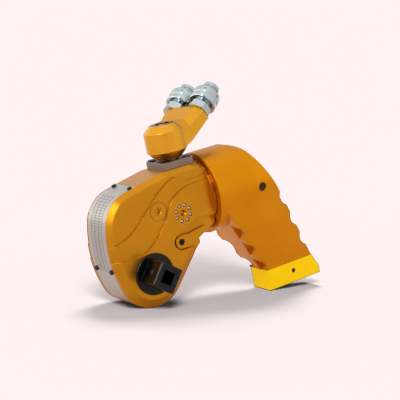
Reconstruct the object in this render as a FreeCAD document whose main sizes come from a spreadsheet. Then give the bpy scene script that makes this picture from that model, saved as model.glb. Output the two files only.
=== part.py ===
import FreeCAD, Part
import math
import os
import re
import Sketcher

os.makedirs("parts", exist_ok=True)
doc = FreeCAD.newDocument("torque_wrench")
sheet = doc.addObject("Spreadsheet::Sheet", "sizes")
vec = FreeCAD.Vector

# Driving sizes, in millimetres and degrees. The working frame has its origin on the drive axis in the
# middle of the head, X along the cylinder towards the arm, Z towards the swivel, and -Y the drive side.
driving = {
    "tilt": 12.33,
    "shoulder": 32.2,
    # Head outline
    "base_r": 34.8,
    "nose_x": -2.7,
    "nose_z": 51.0,
    "flank_r": 119.5,
    "slope": 11.0,
    "top_z": 93.6,
    "head_end": 82.0,
    "throat_z": 21.5,
    "throat_r": 40.0,
    "knee_x": 50.5,
    "knee_z": 4.6,
    "rim_y": 21.3,
    "rim_inset": 5.4,
    "step_low": 26.0,
    "step_mid": 28.0,
    "step_high": 30.0,
    # Cylinder and neck
    "axis_z": 58.0,
    "cone_start": 60.0,
    "cone_big": 42.8,
    "cone_small": 38.0,
    "neck_r": 35.0,
    "neck_end": 125.0,
    "spline_depth": 2.0,
    "groove_w": 3.1,
    "bore_r": 19.0,
    "chamber_start": 62.0,
    "rod_r": 9.5,
    "rod_start": 26.3,
    "slot_y": 12.6,
    "web_r": 29.5,
    "run_fit": 0.05,
    # Drive
    "drive_side": 25.4,
    "drive_tip": 57.1,
    "drive_turn": -38.4,
    "disc_r": 21.0,
    "front_r": 16.9,
    "spline_r": 15.6,
    "rear_r": 13.9,
    "bush_r": 20.5,
    "blind_side": 12.7,
    "blind_depth": 19.0,
    # Ratchet and cranks
    "wheel_r": 27.2,
    "wheel_root": 23.6,
    "wheel_y": 7.4,
    "hub_r": 19.0,
    "crank": 58.0,
    "crank_rest": 12.2,
    "plate_in": 7.8,
    "plate_out": 12.2,
    "pawl_at": 38.5,
    "stop_at": 47.0,
    "rod_pin_r": 4.5,
    # Lever
    "lever_x": 36.9,
    "lever_z": 21.8,
    "lever_floor": 24.6,
    # Side plug and pin ring
    "plug_x": 19.0,
    "plug_z": 58.5,
    "plug_r": 9.3,
    "ring_x": 44.8,
    "ring_z": 50.0,
    "ring_r": 8.24,
    "ring_pin_r": 1.3,
    # Swivel
    "post_x": 57.3,
    "plate_side": 36.5,
    "plate_top": 101.15,
    "post_r": 10.0,
    "yaw": 22.0,
    "block_r": 21.0,
    "block_low": 110.3,
    "block_top": 137.4,
    "rise": 30.3,
    "port_v": 15.3,
    "nut_high": 8.4,
    # Arm
    "sleeve_x": 83.0,
    "sleeve_r": 42.5,
    "lean": 16.75,
    "foot_y": 14.6,
    "foot_top": -43.1,
    "foot_low": -65.6,
    "core_low": -62.0,
    "bite_r": 16.8,
    "bite_depth": 3.3,
    "lip": 11.0,
}

# Worked-out sizes
derived = {
    "nose_d": "sqrt(nose_x^2 + nose_z^2)",
    "flank_h": "sqrt((flank_r - base_r)^2 - nose_d^2 / 4)",
    "flank_x": "nose_x / 2 + flank_h * nose_z / nose_d",
    "flank_z": "nose_z / 2 - flank_h * nose_x / nose_d",
    "knee_d": "knee_x^2 + knee_z^2",
    "slope_x": "nose_x - base_r * sin(slope)",
    "slope_z": "nose_z + base_r * cos(slope)",
    "flat_x": "slope_x + (top_z - slope_z) / tan(slope)",
    "pin_x": "crank * sin(crank_rest)",
    "lean_y": "sleeve_r * cos(lean)",
    "lean_z": "axis_z - sleeve_r * sin(lean)",
    "bend_z": "lean_z - (lean_y - foot_y) / tan(lean)",
}


def bound(text):
    words = set(driving) | set(derived)
    return re.sub(r"[a-z_]+", lambda hit: "sizes." + hit.group(0) if hit.group(0) in words else hit.group(0),
                  str(text))


row = 1
for name, value in driving.items():
    sheet.set(f"A{row}", name)
    sheet.set(f"B{row}", str(value))
    sheet.setAlias(f"B{row}", name)
    row += 1
for name, formula in derived.items():
    sheet.set(f"A{row}", name)
    sheet.set(f"B{row}", "=" + formula)
    sheet.setAlias(f"B{row}", name)
    row += 1
doc.recompute()

standing = bound("placement(vector(0; shoulder; 0); rotationy(0 - tilt))")
exported = []


def measure(text):
    value = sheet.evalExpression(bound(text))
    return float(getattr(value, "Value", value))


def place(item, spot="0; 0; 0", turn="rotationz(0)", before=""):
    parts = [standing]
    if before:
        parts.append(bound(before))
    parts.append(bound(f"placement(vector({spot}); {turn})"))
    item.setExpression("Placement", " * ".join(parts))
    return item


def node(item, label):
    item.Label = label
    exported.append(item)
    return item


def planeOf(body, role):
    for feature in body.Origin.OriginFeatures:
        if feature.Role == role:
            return feature
    return None


def newBody(name):
    return doc.addObject("PartDesign::Body", name)


def sketchOn(body, name, role="XZ_Plane", lift=None):
    sketch = body.newObject("Sketcher::SketchObject", name)
    sketch.AttachmentSupport = [(planeOf(body, role), "")]
    sketch.MapMode = "FlatFace"
    if lift is not None:
        sketch.setExpression("AttachmentOffset.Base.z", bound(lift))
    return sketch


def pin(sketch, kind, index, pos, text, name):
    number = sketch.addConstraint(Sketcher.Constraint(kind, index, pos, measure(text)))
    sketch.renameConstraint(number, name)
    sketch.setExpression("Constraints." + name, bound(text))


def circle(sketch, x, y, radius):
    index = sketch.addGeometry(Part.Circle(vec(measure(x), measure(y), 0), vec(0, 0, 1), measure(radius)))
    number = sketch.addConstraint(Sketcher.Constraint("Radius", index, measure(radius)))
    sketch.renameConstraint(number, f"r{index}")
    sketch.setExpression(f"Constraints.r{index}", bound(radius))
    pin(sketch, "DistanceX", index, 3, x, f"cx{index}")
    pin(sketch, "DistanceY", index, 3, y, f"cy{index}")


def outline(sketch, points, arcs=None):
    # Closed outline. An arc entry gives the radius of the side that starts at that point and the side
    # on which its centre lies, 1 for the left of the direction of travel and -1 for the right.
    arcs = arcs or {}
    spots = [vec(measure(x), measure(y), 0) for x, y in points]
    count = len(spots)
    ends = []
    for i in range(count):
        start = spots[i]
        stop = spots[(i + 1) % count]
        if i in arcs:
            radius = measure(arcs[i][0])
            side = arcs[i][1]
            chord = stop - start
            half = chord.Length / 2
            left = vec(-chord.y, chord.x, 0) / chord.Length
            high = math.sqrt(max(radius * radius - half * half, 0))
            middle = (start + stop) / 2 - left * side * (radius - high)
            if side > 0:
                arc = Part.Arc(start, middle, stop)
                ends.append((1, 2))
            else:
                arc = Part.Arc(stop, middle, start)
                ends.append((2, 1))
            index = sketch.addGeometry(arc)
        else:
            index = sketch.addGeometry(Part.LineSegment(start, stop))
            ends.append((1, 2))
        if i == 0:
            first = index
    for i in range(count):
        after = (i + 1) % count
        sketch.addConstraint(Sketcher.Constraint("Coincident", first + i, ends[i][1], first + after, ends[after][0]))
    for i in range(count):
        pin(sketch, "DistanceX", first + i, ends[i][0], points[i][0], f"x{first + i}")
        pin(sketch, "DistanceY", first + i, ends[i][0], points[i][1], f"y{first + i}")
        if i in arcs:
            number = sketch.addConstraint(Sketcher.Constraint("Radius", first + i, measure(arcs[i][0])))
            sketch.renameConstraint(number, f"r{first + i}")
            sketch.setExpression(f"Constraints.r{first + i}", bound(arcs[i][0]))


def pad(body, sketch, length, both=False, kind="PartDesign::Pad", back=False):
    feature = body.newObject(kind, sketch.Name + "_solid")
    feature.Profile = sketch
    if both:
        feature.SideType = "Symmetric"
    feature.Reversed = back
    feature.setExpression("Length", bound(length))
    body.Tip = feature
    doc.recompute()
    return feature


def turned(name, profile, spot="0; 0; 0", turn="rotationz(0)", before=""):
    # Solid of revolution about its own Z, from radius and height pairs
    body = newBody(name)
    sketch = sketchOn(body, name + "_profile")
    outline(sketch, profile)
    spin = body.newObject("PartDesign::Revolution", name + "_turned")
    spin.Profile = sketch
    spin.ReferenceAxis = (sketch, ["V_Axis"])
    spin.Angle = 360
    body.Tip = spin
    place(body, spot, turn, before)
    doc.recompute()
    return body


def tube(name, inner, outer, low, high, spot="0; 0; 0", turn="rotationz(0)", before=""):
    return turned(name, [(inner, low), (outer, low), (outer, high), (inner, high)], spot, turn, before)


def coil(name, radius, wire, low, pitch, high, spot="0; 0; 0", turn="rotationz(0)", before=""):
    body = newBody(name)
    sketch = sketchOn(body, name + "_wire")
    circle(sketch, radius, low, wire)
    helix = body.newObject("PartDesign::AdditiveHelix", name + "_coil")
    helix.Profile = sketch
    helix.ReferenceAxis = (sketch, ["V_Axis"])
    helix.Mode = "pitch-height-angle"
    helix.setExpression("Pitch", bound(pitch))
    helix.setExpression("Height", bound(f"({high}) - ({low})"))
    body.Tip = helix
    place(body, spot, turn, before)
    doc.recompute()
    return body


def rod(name, radius, height, spot, turn="rotationz(0)", before=""):
    item = doc.addObject("Part::Cylinder", name)
    item.setExpression("Radius", bound(radius))
    item.setExpression("Height", bound(height))
    return place(item, spot, turn, before)


def cone(name, low, high, height, spot, turn="rotationz(0)", before=""):
    item = doc.addObject("Part::Cone", name)
    item.setExpression("Radius1", bound(low))
    item.setExpression("Radius2", bound(high))
    item.setExpression("Height", bound(height))
    return place(item, spot, turn, before)


def hexagon(name, across, height, spot, turn="rotationz(0)", before=""):
    item = doc.addObject("Part::Prism", name)
    item.Polygon = 6
    item.setExpression("Circumradius", bound(f"({across}) / sqrt(3)"))
    item.setExpression("Height", bound(height))
    return place(item, spot, turn, before)


def box(name, length, width, height, spot, turn="rotationz(0)", before=""):
    item = doc.addObject("Part::Box", name)
    item.setExpression("Length", bound(length))
    item.setExpression("Width", bound(width))
    item.setExpression("Height", bound(height))
    return place(item, spot, turn, before)


def joined(name, items):
    item = doc.addObject("Part::MultiFuse", name)
    item.Shapes = items
    return item


def cut(name, base, tools):
    item = doc.addObject("Part::Cut", name)
    item.Base = base
    item.Tool = tools[0] if len(tools) == 1 else joined(name + "_tools", tools)
    return item


def group(name, items):
    item = doc.addObject("Part::Compound", name)
    item.Links = items
    return item


def capScrew(name, head, high, shank, depth, across, deep, frame):
    # Socket head screw seated at its own origin, head along +Z
    top = rod(name + "_head", head, high, "0; 0; 0", before=frame)
    low = rod(name + "_shank", shank, f"{depth} + 0.2", f"0; 0; -{depth}", before=frame)
    hole = hexagon(name + "_socket", across, f"{deep} + 1", f"0; 0; {high} - {deep}", before=frame)
    return cut(name, joined(name + "_solid", [top, low]), [hole])


# Head outline, once round from the lower tangent point
headPoints = [
    ("(base_r^2 * knee_x + base_r * sqrt(knee_d - base_r^2) * knee_z) / knee_d",
     "(base_r^2 * knee_z - base_r * sqrt(knee_d - base_r^2) * knee_x) / knee_d"),
    ("knee_x", "knee_z"),
    ("head_end", "throat_z"),
    ("head_end", "top_z"),
    ("flat_x", "top_z"),
    ("slope_x", "slope_z"),
    ("nose_x + (nose_x - flank_x) * base_r / (flank_r - base_r)",
     "nose_z + (nose_z - flank_z) * base_r / (flank_r - base_r)"),
    ("0 - flank_x * base_r / (flank_r - base_r)", "0 - flank_z * base_r / (flank_r - base_r)"),
]
headArcs = {1: ("throat_r", -1), 5: ("base_r", 1), 6: ("flank_r", 1), 7: ("base_r", 1)}

# Regions taken off a step, above each of the two sweeping curves of the side face
midCut = ([("head_end + 6", "110"), ("-60", "110"), ("-60", "33"), ("-37", "37.2"), ("-24.5", "40.4"),
           ("-6.2", "50.7"), ("22.8", "76.1"), ("44.5", "87.1"), ("57.5", "80.3"), ("head_end + 6", "81.3")],
          {4: ("58", 1), 6: ("64", -1), 7: ("22", 1)})
highCut = ([("head_end + 6", "110"), ("-60", "110"), ("-60", "24"), ("-37", "21.6"), ("-17.5", "20.4"),
            ("0", "24.7"), ("15.1", "36.7"), ("24.4", "47.4"), ("30", "58.5"), ("36.6", "66.7"),
            ("63.7", "75.9"), ("head_end + 6", "72.4")],
           {3: ("110", 1), 4: ("40", 1), 5: ("70", 1), 8: ("60", -1), 9: ("46", -1), 10: ("44", -1)})


def slab(name, half, region):
    body = newBody(name)
    sketch = sketchOn(body, name + "_outline")
    outline(sketch, headPoints, headArcs)
    pad(body, sketch, f"2 * {half}", both=True)
    solid = body.Tip
    names = []
    level = measure(half)
    last = measure("head_end")
    for i, edge in enumerate(solid.Shape.Edges):
        box = edge.BoundBox
        flat = abs(abs(box.YMin) - level) < 0.01 and abs(box.YMax - box.YMin) < 0.01
        if flat and box.XMin < last - 0.5:
            names.append(f"Edge{i + 1}")
    rim = body.newObject("PartDesign::Chamfer", name + "_rim")
    rim.Base = (solid, names)
    rim.ChamferType = "Two distances"
    rim.setExpression("Size", bound("rim_inset"))
    rim.setExpression("Size2", bound(f"{half} - rim_y"))
    body.Tip = rim
    doc.recompute()
    if region:
        away = sketchOn(body, name + "_region")
        outline(away, region[0], region[1])
        pad(body, away, "90", both=True, kind="PartDesign::Pocket")
    place(body)
    return body


slabs = [slab("head_low", "step_low", None), slab("head_mid", "step_mid", midCut),
         slab("head_high", "step_high", highCut)]

# Splined neck that carries the reaction arm
neck = newBody("neck")
neckRound = sketchOn(neck, "neck_round", "YZ_Plane", "head_end - 1")
circle(neckRound, "0", "axis_z", "neck_r")
pad(neck, neckRound, "neck_end - head_end + 1")
neckGroove = sketchOn(neck, "neck_groove", "YZ_Plane", "neck_end + 1")
outline(neckGroove, [("0 - groove_w / 2", "axis_z + neck_r - spline_depth"),
                     ("groove_w / 2", "axis_z + neck_r - spline_depth"),
                     ("groove_w / 2 + 0.4", "axis_z + neck_r + 2"),
                     ("0 - groove_w / 2 - 0.4", "axis_z + neck_r + 2")])
groove = pad(neck, neckGroove, "neck_end - sleeve_x + 1.5", kind="PartDesign::Pocket")
axisLine = sketchOn(neck, "neck_axis", "XZ_Plane")
axisLine.addGeometry(Part.LineSegment(vec(0, 58, 0), vec(50, 58, 0)), True)
axisLine.addConstraint(Sketcher.Constraint("Horizontal", 0))
pin(axisLine, "DistanceY", 0, 1, "axis_z", "height")
doc.recompute()
around = neck.newObject("PartDesign::PolarPattern", "neck_splines")
around.Originals = [groove]
around.Axis = (axisLine, ["Axis0"])
around.Angle = 360
around.Occurrences = 36
neck.Tip = around
place(neck)
doc.recompute()

# Slot between the cheeks for the cranks and the ratchet
slot = newBody("slot")
slotShape = sketchOn(slot, "slot_shape")
outline(slotShape, [("-29", "-3"), ("29", "-3"), ("44", "10"), ("49", "24"), ("44", "35"), ("27", "46"),
                    ("25", "74"), ("-6", "76"), ("-14", "96"), ("-60", "96"), ("-60", "18"), ("-34", "18")])
pad(slot, slotShape, "2 * slot_y", both=True)
place(slot)

# Recess that holds the nameplate: the head outline set inwards, over the nose and the flank
def shroud(name, deep, out, ends, half):
    # Band along the nose and the flank, between two depths below the outline
    body = newBody(name)
    sketch = sketchOn(body, name + "_band")
    inner = f"(base_r - {deep})"
    outer = f"(base_r - {out})"
    reach = "(flank_r - base_r)"
    low = f"({ends[1]})"
    high = f"({ends[0]})"

    def ring(radius):
        return [
            (f"slope_x - {high} * cos(slope) + (base_r - {radius}) * sin(slope)",
             f"slope_z - {high} * sin(slope) - (base_r - {radius}) * cos(slope)"),
            (f"nose_x - {radius} * sin(slope)", f"nose_z + {radius} * cos(slope)"),
            (f"nose_x + (nose_x - flank_x) * {radius} / {reach}",
             f"nose_z + (nose_z - flank_z) * {radius} / {reach}"),
            (f"0 - flank_x * {radius} / {reach}", f"0 - flank_z * {radius} / {reach}"),
            (f"{radius} * cos(180 + {low})", f"{radius} * sin(180 + {low})"),
        ]

    inside = ring(inner)
    outside = ring(outer)
    points = outside + inside[::-1]
    arcs = {1: (outer, 1), 2: (f"(flank_r - {out})", 1), 3: (outer, 1),
            5: (inner, -1), 6: (f"(flank_r - {deep})", -1), 7: (inner, -1)}
    outline(sketch, points, arcs)
    pad(body, sketch, f"2 * {half}", both=True)
    place(body)
    return body


recess = shroud("recess", "1.6", "(0 - 4)", ("-13.5", "36"), "19.8")
plateBlank = shroud("nameplate_blank", "1.4", "0.1", ("-13.2", "35.6"), "19.5")

# Nameplate screws: normal to the surface, on the top slope and on the flank
plateSpots = []
for side in ("-1", "1"):
    plateSpots.append(f"placement(vector(-1.5; {side} * 16.6; slope_z + (-1.5 - slope_x) * tan(slope) - 0.1); "
                      f"rotationy(0 - slope))")
    plateSpots.append(f"placement(vector(flank_x - (flank_r - 0.1) * cos(8.6); {side} * 16.6; "
                      f"flank_z - (flank_r - 0.1) * sin(8.6)); rotationy(-98.6))")
plateHoles = [rod(f"nameplate_hole_{i}", "1.7", "12", "0; 0; -9", before=spot)
              for i, spot in enumerate(plateSpots)]
headHoles = [rod(f"head_hole_{i}", "1.5", "12", "0; 0; -9", before=spot)
             for i, spot in enumerate(plateSpots)]
nameplate = node(cut("nameplate_cut", plateBlank, plateHoles), "nameplate")
plateScrews = [capScrew(f"plate_screw_{i}", "2.5", "1.6", "1.45", "8", "2.2", "1.1", spot)
               for i, spot in enumerate(plateSpots)]
node(group("nameplate_screw_group", plateScrews), "nameplate_screws")

# Lever recess in the front face
leverBay = newBody("lever_bay")
bayShape = sketchOn(leverBay, "bay_shape", "XZ_Plane", "lever_floor")
outline(bayShape, [("lever_x - 8.4", "lever_z"), ("lever_x", "lever_z - 8.4"), ("lever_x + 8", "lever_z - 8.4"),
                   ("head_end + 8", "lever_z - 14"), ("head_end + 8", "37"), ("66.8", "40.9"), ("60", "40.9"),
                   ("lever_x - 5", "lever_z + 6.8")],
        {0: ("8.6", 1), 7: ("8.4", 1)})
pad(leverBay, bayShape, "12")
place(leverBay)

frontward = "rotationx(90)"
rearward = "rotationx(-90)"
armward = "rotationy(90)"

coneTool = turned("cone_tool", [("cone_big", "cone_start"), ("70", "cone_start"), ("70", "head_end + 4"),
                                ("cone_small", "head_end + 4"), ("cone_small", "head_end")],
                  "0; 0; axis_z", armward)
housingTools = [
    coneTool, slot, recess, leverBay,
    rod("web_bore", "web_r", "2 * slot_y", "0; slot_y; 0", frontward),
    rod("bush_bore", "bush_r", "80", "0; 40; 0", frontward),
    rod("rod_bore", "rod_r + 0.1", "50", "20; 0; axis_z", armward),
    rod("chamber", "bore_r", "90", "chamber_start; 0; axis_z", armward),
    rod("plug_bore", "plug_r + 0.1", "20", "plug_x; -12; plug_z", frontward),
    rod("lever_bore", "3.2", "30", "lever_x; -7; lever_z", frontward),
    rod("pawl_bore", "3.2", "24", "lever_x; 20; lever_z", frontward),
    rod("post_bore", "post_r + 0.2", "20", "post_x; 0; top_z - 13"),
    cone("dish", "3.4", "1.2", "3", "ring_x; 0 - step_high; ring_z", rearward),
]
housingTools += headHoles
for i in range(8):
    turn = 22.5 + 45 * i
    housingTools.append(rod(f"ring_hole_{i}", "ring_pin_r + 0.05", "6",
                            f"ring_x + ring_r * cos({turn}); 5 - step_high; ring_z + ring_r * sin({turn})",
                            frontward))
for i, (sx, sy) in enumerate(((1, 1), (1, -1), (-1, 1), (-1, -1))):
    housingTools.append(rod(f"mount_hole_{i}", "2.1", "12", f"post_x + {sx} * 13; {sy} * 13; top_z - 10"))
node(cut("housing_cut", joined("housing_blank", slabs + [neck]), housingTools), "housing")

# Bushings of the drive
node(tube("front_bushing_body", "front_r + run_fit", "bush_r", "slot_y + 0.3", "step_high - 0.3",
          turn=frontward), "front_bushing")
node(tube("rear_bushing_body", "rear_r + run_fit", "bush_r", "slot_y + 0.3", "step_high - 0.3",
          turn=rearward), "rear_bushing")

# Square drive with its flange, journals and splined middle
drive = newBody("square_drive_body")
driveProfile = sketchOn(drive, "drive_profile")
outline(driveProfile, [("0", "-17.9"), ("6.3", "-17.9"), ("6.3", "0 - step_high - 0.1"),
                       ("rear_r", "0 - step_high - 0.1"), ("rear_r", "0 - slot_y"),
                       ("spline_r", "0 - slot_y"), ("spline_r", "slot_y + 0.6"),
                       ("front_r", "slot_y + 0.6"), ("front_r", "step_high + 0.15"),
                       ("disc_r", "step_high + 0.15"), ("disc_r", "shoulder - 0.7"),
                       ("disc_r - 0.7", "shoulder"), ("0", "shoulder")])
driveTurned = drive.newObject("PartDesign::Revolution", "drive_turned")
driveTurned.Profile = driveProfile
driveTurned.ReferenceAxis = (driveProfile, ["V_Axis"])
driveTurned.Angle = 360
drive.Tip = driveTurned
doc.recompute()
squareShape = sketchOn(drive, "square_shape", "XY_Plane", "shoulder - 1")
half = "drive_side / 2"
nip = "2.2"
outline(squareShape, [(f"{nip} - {half}", f"0 - {half}"), (f"{half} - {nip}", f"0 - {half}"),
                      (half, f"{nip} - {half}"), (half, f"{half} - {nip}"), (f"{half} - {nip}", half),
                      (f"{nip} - {half}", half), (f"0 - {half}", f"{half} - {nip}"),
                      (f"0 - {half}", f"{nip} - {half}")],
        {1: (nip, 1), 3: (nip, 1), 5: (nip, 1), 7: (nip, 1)})
pad(drive, squareShape, "drive_tip - shoulder + 1")
tipEdges = []
tip = measure("drive_tip")
for i, edge in enumerate(drive.Tip.Shape.Edges):
    edgeBox = edge.BoundBox
    if edgeBox.ZMin > tip - 0.01:
        tipEdges.append(f"Edge{i + 1}")
driveSolid = drive.Tip
tipChamfer = drive.newObject("PartDesign::Chamfer", "tip_chamfer")
tipChamfer.Base = (driveSolid, tipEdges)
tipChamfer.Size = 1.2
drive.Tip = tipChamfer
doc.recompute()
tipRecess = sketchOn(drive, "tip_recess", "XY_Plane", "drive_tip")
circle(tipRecess, "0", "0", "9.8")
pad(drive, tipRecess, "0.5", kind="PartDesign::Pocket")
blindShape = sketchOn(drive, "blind_shape", "XY_Plane", "drive_tip")
blind = "blind_side / 2"
outline(blindShape, [(f"0 - {blind}", f"0 - {blind}"), (blind, f"0 - {blind}"), (blind, blind),
                     (f"0 - {blind}", blind)])
pad(drive, blindShape, "blind_depth", kind="PartDesign::Pocket")
detentShape = sketchOn(drive, "detent_shape", "YZ_Plane", "0 - drive_side / 2 - 1")
circle(detentShape, "0", "shoulder + 12.5", "3.6")
detentHole = pad(drive, detentShape, "6.8", kind="PartDesign::Pocket", back=True)
place(drive, turn="rotationx(90) * rotationz(drive_turn)")
doc.recompute()
node(drive, "square_drive")

driveFrame = "placement(vector(0; 0; 0); rotationx(90) * rotationz(drive_turn))"
node(turned("detent_pin_body", [("0", "-1.8"), ("3.5", "-1.8"), ("3.5", "0.1"), ("2.6", "0.5"), ("0", "1.5")],
            "0 - drive_side / 2; 0; shoulder + 12.5", "rotationy(-90)", driveFrame), "detent_pin")
node(coil("detent_spring_body", "2.4", "0.35", "-5.3", "1.1", "-2.2",
          "0 - drive_side / 2; 0; shoulder + 12.5", "rotationy(-90)", driveFrame), "detent_spring")

# Rear retainer of the drive with its push button
retainer = turned("retainer_body", [("7.1", "step_high + 0.15"), ("20.5", "step_high + 0.15"),
                                    ("20.5", "step_high + 2.2"), ("19.5", "step_high + 3.2"),
                                    ("7.1", "step_high + 3.2")], turn=rearward)
node(retainer, "drive_retainer")
node(turned("button_body", [("0", "29.9"), ("6.0", "29.9"), ("6.0", "step_high + 5.6"),
                            ("5.2", "step_high + 6.4"), ("0", "step_high + 6.4")], turn=rearward),
     "retainer_button")
node(coil("retainer_spring_body", "4.5", "0.5", "18.45", "2.4", "29.35", turn=rearward), "retainer_spring")

# Ratchet wheel
wheel = newBody("ratchet_body")
wheelRound = sketchOn(wheel, "wheel_round")
circle(wheelRound, "0", "0", "wheel_r")
pad(wheel, wheelRound, "2 * wheel_y", both=True)
toothGap = sketchOn(wheel, "tooth_gap")
outline(toothGap, [("wheel_root * cos(92)", "wheel_root * sin(92)"),
                   ("(wheel_r + 2) * cos(92)", "(wheel_r + 2) * sin(92)"),
                   ("(wheel_r + 2) * cos(112)", "(wheel_r + 2) * sin(112)")])
gap = pad(wheel, toothGap, "30", both=True, kind="PartDesign::Pocket")
teeth = wheel.newObject("PartDesign::PolarPattern", "ratchet_teeth")
teeth.Originals = [gap]
teeth.Axis = (planeOf(wheel, "Y_Axis"), [""])
teeth.Angle = 360
teeth.Occurrences = 15
wheel.Tip = teeth
doc.recompute()
hubRound = sketchOn(wheel, "hub_round")
circle(hubRound, "0", "0", "hub_r")
pad(wheel, hubRound, "2 * plate_out", both=True)
wheelBore = sketchOn(wheel, "wheel_bore")
circle(wheelBore, "0", "0", "spline_r + 0.1")
pad(wheel, wheelBore, "40", both=True, kind="PartDesign::Pocket")
place(wheel, turn="rotationy(crank_rest)")
node(wheel, "ratchet_wheel")


# Crank plates either side of the ratchet
def crankPlate(name, low):
    body = newBody(name)
    sketch = sketchOn(body, name + "_outline", "XZ_Plane", low)
    big = "(wheel_r - 1)"
    small = "10.5"
    sine = f"(({big} - {small}) / crank)"
    cosine = f"sqrt(1 - {sine}^2)"
    outline(sketch, [("0", f"0 - {big}"), (f"{big} * {cosine}", f"{big} * {sine}"),
                     (f"{small} * {cosine}", f"crank + {small} * {sine}"),
                     (f"0 - {small} * {cosine}", f"crank + {small} * {sine}"),
                     (f"0 - {big} * {cosine}", f"{big} * {sine}")],
            {0: (big, 1), 2: (small, 1), 4: (big, 1)})
    circle(sketch, "0", "0", "hub_r + run_fit")
    circle(sketch, "0", "crank", "rod_pin_r + 0.02")
    circle(sketch, "0", "pawl_at", "3.02")
    circle(sketch, "0", "stop_at", "2.02")
    pad(body, sketch, "plate_out - plate_in")
    place(body, turn="rotationy(crank_rest)")
    return body


node(crankPlate("crank_front_body", "plate_in"), "crank_plate_front")
node(crankPlate("crank_rear_body", "0 - plate_out"), "crank_plate_rear")
crankFrame = "placement(vector(0; 0; 0); rotationy(crank_rest))"
node(rod("rod_pin_body", "rod_pin_r", "2 * plate_out", "0; plate_out; crank", frontward, crankFrame), "rod_pin")
node(rod("pawl_pin_body", "3", "2 * plate_out", "0; plate_out; pawl_at", frontward, crankFrame), "pawl_pin")
node(rod("stop_pin_body", "2", "2 * plate_out", "0; plate_out; stop_at", frontward, crankFrame), "spring_stop")

pawl = newBody("drive_pawl_body")
pawlShape = sketchOn(pawl, "pawl_shape")
outline(pawlShape, [("-8.5", "wheel_r + 1.4"), ("-6.4", "wheel_r + 0.15"), ("-3.0", "wheel_r + 0.6"),
                    ("8.5", "wheel_r + 0.9"), ("9", "pawl_at - 2"), ("6", "pawl_at + 4.4"),
                    ("-6", "pawl_at + 4.4"), ("-9", "pawl_at - 2")])
circle(pawlShape, "0", "pawl_at", "3.05")
pad(pawl, pawlShape, "2 * (plate_in - 0.4)", both=True)
place(pawl, turn="rotationy(crank_rest)")
node(pawl, "drive_pawl")
pawlSprings = [coil(f"pawl_spring_{i}", "1.3", "0.25", "0", "0.7", "1.9",
                    f"{x}; {y}; pawl_at + 4.7", before=crankFrame)
               for i, (x, y) in enumerate(((-4, 4), (-4, -4)))]
node(group("pawl_spring_pair", pawlSprings), "pawl_springs")

# Reaction pawl on the lever's shaft
catchPawl = newBody("reaction_pawl_body")
catchShape = sketchOn(catchPawl, "catch_shape")
outline(catchShape, [("lever_x + 5.5", "lever_z"), ("lever_x", "lever_z + 5.5"), ("22", "30.5"),
                     ("17.2", "25.0"), ("21.5", "22.0"), ("lever_x", "lever_z - 5.5")],
        {0: ("5.5", 1), 5: ("5.5", 1)})
circle(catchShape, "lever_x", "lever_z", "3.02")
pad(catchPawl, catchShape, "2 * (wheel_y - 0.2)", both=True)
place(catchPawl)
node(catchPawl, "reaction_pawl")
node(coil("catch_spring_body", "2.6", "0.4", "0", "2.2", "12", "29.1; 0; 29.9", "rotationy(25)"),
     "reaction_pawl_spring")

# Release lever: shaft, hub and a flat handle that runs to the lower right
lever = newBody("release_lever_body")
hubShape = sketchOn(lever, "lever_hub", "XZ_Plane", "lever_floor + 0.3")
circle(hubShape, "lever_x", "lever_z", "6.7")
pad(lever, hubShape, "step_high - lever_floor - 0.3")
handleShape = sketchOn(lever, "lever_handle", "XZ_Plane", "lever_floor + 0.3")
outline(handleShape, [("lever_x + 1", "lever_z + 6.6"), ("lever_x + 1", "lever_z - 6.6"),
                      ("lever_x + 10", "lever_z - 5.6"), ("lever_x + 14", "lever_z - 5.2"),
                      ("lever_x + 33", "lever_z + 4.2"), ("lever_x + 31", "lever_z + 8.6"),
                      ("lever_x + 11", "lever_z + 5.7")])
pad(lever, handleShape, "step_high - lever_floor - 0.3")
stepShape = sketchOn(lever, "lever_step", "XZ_Plane", "step_high - 2.2")
outline(stepShape, [("lever_x + 12.6", "lever_z - 8"), ("lever_x + 40", "lever_z - 8"),
                    ("lever_x + 40", "lever_z + 16"), ("lever_x + 10.6", "lever_z + 8")])
pad(lever, stepShape, "6", kind="PartDesign::Pocket", back=True)
shaftShape = sketchOn(lever, "lever_shaft", "XZ_Plane", "-14")
circle(shaftShape, "lever_x", "lever_z", "3")
pad(lever, shaftShape, "lever_floor + 15")
place(lever)
leverHole = rod("lever_hole", "2", "12", "lever_x; -20; lever_z", frontward)
leverSink = rod("lever_sink", "3.4", "4", "lever_x; 2.6 - step_high; lever_z", frontward)
node(cut("release_lever_cut", lever, [leverHole, leverSink]), "release_lever")
leverSpot = "placement(vector(lever_x; 2.5 - step_high; lever_z); rotationx(90))"
node(capScrew("lever_screw_cut", "3.2", "2.2", "1.9", "6", "2.6", "1.6", leverSpot), "lever_screw")

# Side plug and ring of pins
plugBlank = rod("plug_blank", "plug_r", "9", "plug_x; 9.1 - step_mid; plug_z", frontward)
plugHex = hexagon("plug_hex", "4.6", "4", "plug_x; 3.2 - step_mid; plug_z", frontward)
plugRing = cone("plug_ring", "3.4", "4.2", "1", "plug_x; 0.9 - step_mid; plug_z", frontward)
node(cut("side_plug_cut", plugBlank, [plugHex, plugRing]), "side_plug")
ringPins = [rod(f"ring_pin_{i}", "ring_pin_r", "4.7",
                f"ring_x + ring_r * cos({22.5 + 45 * i}); 5 - step_high; ring_z + ring_r * sin({22.5 + 45 * i})",
                frontward)
            for i in range(8)]
node(group("ring_pin_group", ringPins), "ring_pins")

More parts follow.
